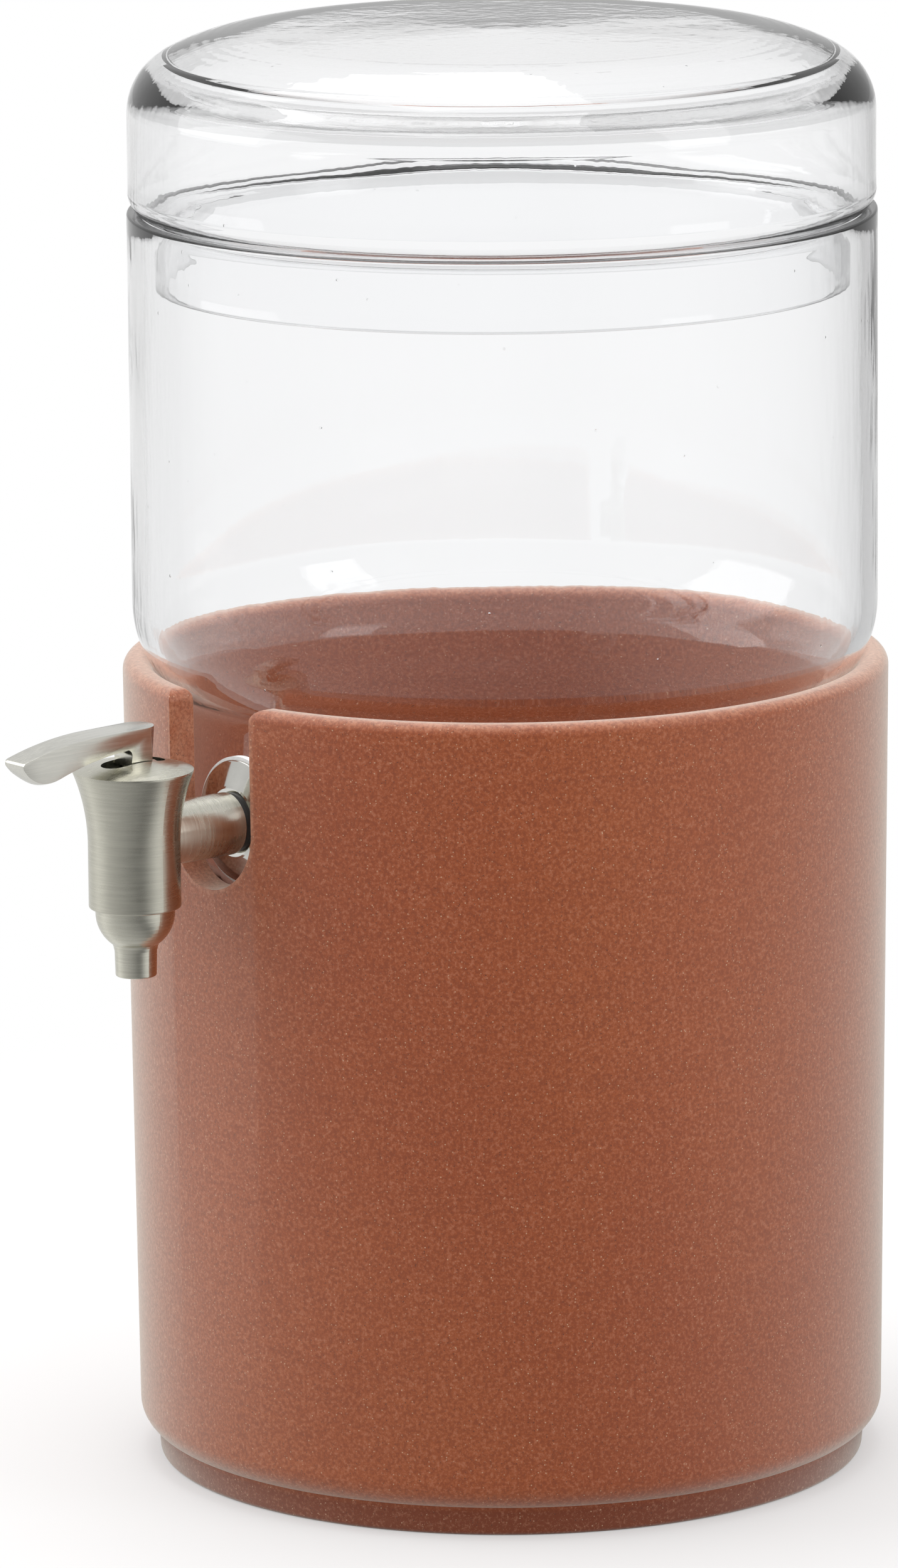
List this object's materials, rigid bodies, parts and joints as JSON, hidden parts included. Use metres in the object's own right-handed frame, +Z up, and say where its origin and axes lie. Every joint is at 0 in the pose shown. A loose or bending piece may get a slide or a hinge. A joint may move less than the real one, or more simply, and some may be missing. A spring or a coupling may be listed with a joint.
{
  "type": "drink dispenser",
  "caption": "Cylindrical glass water vessel with a loose glass lid, nested in a slotted terracotta stand, with a lever tap for drawing drinks.",
  "frame": {"origin": "on the pot's axis, in the plane of the foot's underside", "axes": "+Z up along the pot's axis, -Y out of the pot along the tap's stem, +X to the right of someone who stands behind the pot and looks out along the tap"},
  "size_m": [0.22, 0.2869, 0.4156],
  "materials": {
    "terracotta": "unglazed, fine grain with pale specks",
    "clear_glass": "clear, polished",
    "lid_glass": "clear, polished",
    "brushed_body": "brushed round the body",
    "brushed_stem": "brushed along the stem",
    "brushed_cap": "brushed, satin",
    "brushed_lever": "brushed along the lever",
    "brushed_outlet": "brushed round the outlet",
    "polished_flange": "polished",
    "plain_steel": "turned, satin",
    "spring_steel": "drawn wire",
    "white_silicone": "translucent white, matt",
    "black_rubber": "matt",
    "gland_nylon": "natural, matt"
  },
  "bodies": {
    "stand": {"clay_stand": "terracotta"},
    "vessel": {"glass_vessel": "clear_glass", "tap_body": "brushed_body", "stem_shank": "brushed_stem", "tap_cap": "brushed_cap", "flange": "polished_flange", "stem_gasket": "black_rubber", "outer_washer": "white_silicone", "inner_washer": "white_silicone", "plate_washer": "plain_steel", "shank_nut": "plain_steel", "outlet_cup": "brushed_outlet", "spout_tube": "brushed_outlet", "gland_bush": "gland_nylon", "rod_seal": "black_rubber", "pivot_pin": "plain_steel"},
    "lid": {"glass_lid": "lid_glass"},
    "lever": {"lever": "brushed_lever", "link_pin": "plain_steel"},
    "plunger": {"plunger": "plain_steel", "seat_plug": "white_silicone", "return_spring": "spring_steel"}
  },
  "joints": [
    {"name": "vessel_lift", "type": "slide", "parent": "stand", "child": "vessel", "axis": [0, 0, 1], "range_m": [0, 0.08]},
    {"name": "lid_lift", "type": "slide", "parent": "vessel", "child": "lid", "axis": [0, 0, 1], "range_m": [0, 0.05]},
    {"name": "lever_tilt", "type": "hinge", "parent": "vessel", "child": "lever", "pos_m": [0, -0.1415, 0.212], "axis": [1, 0, 0], "range_deg": [0, 25], "stiffness_Nm_per_rad": 0.15, "springref_deg": -17.19},
    {"name": "plunger_lift", "type": "slide", "parent": "vessel", "child": "plunger", "axis": [0, 0, 1], "range_m": [0, 0.0026], "deforming": ["return_spring"]}
  ],
  "couplings": [
    {"joint": "plunger_lift", "follows": "lever_tilt", "m_per_rad": 0.0059}
  ]
}
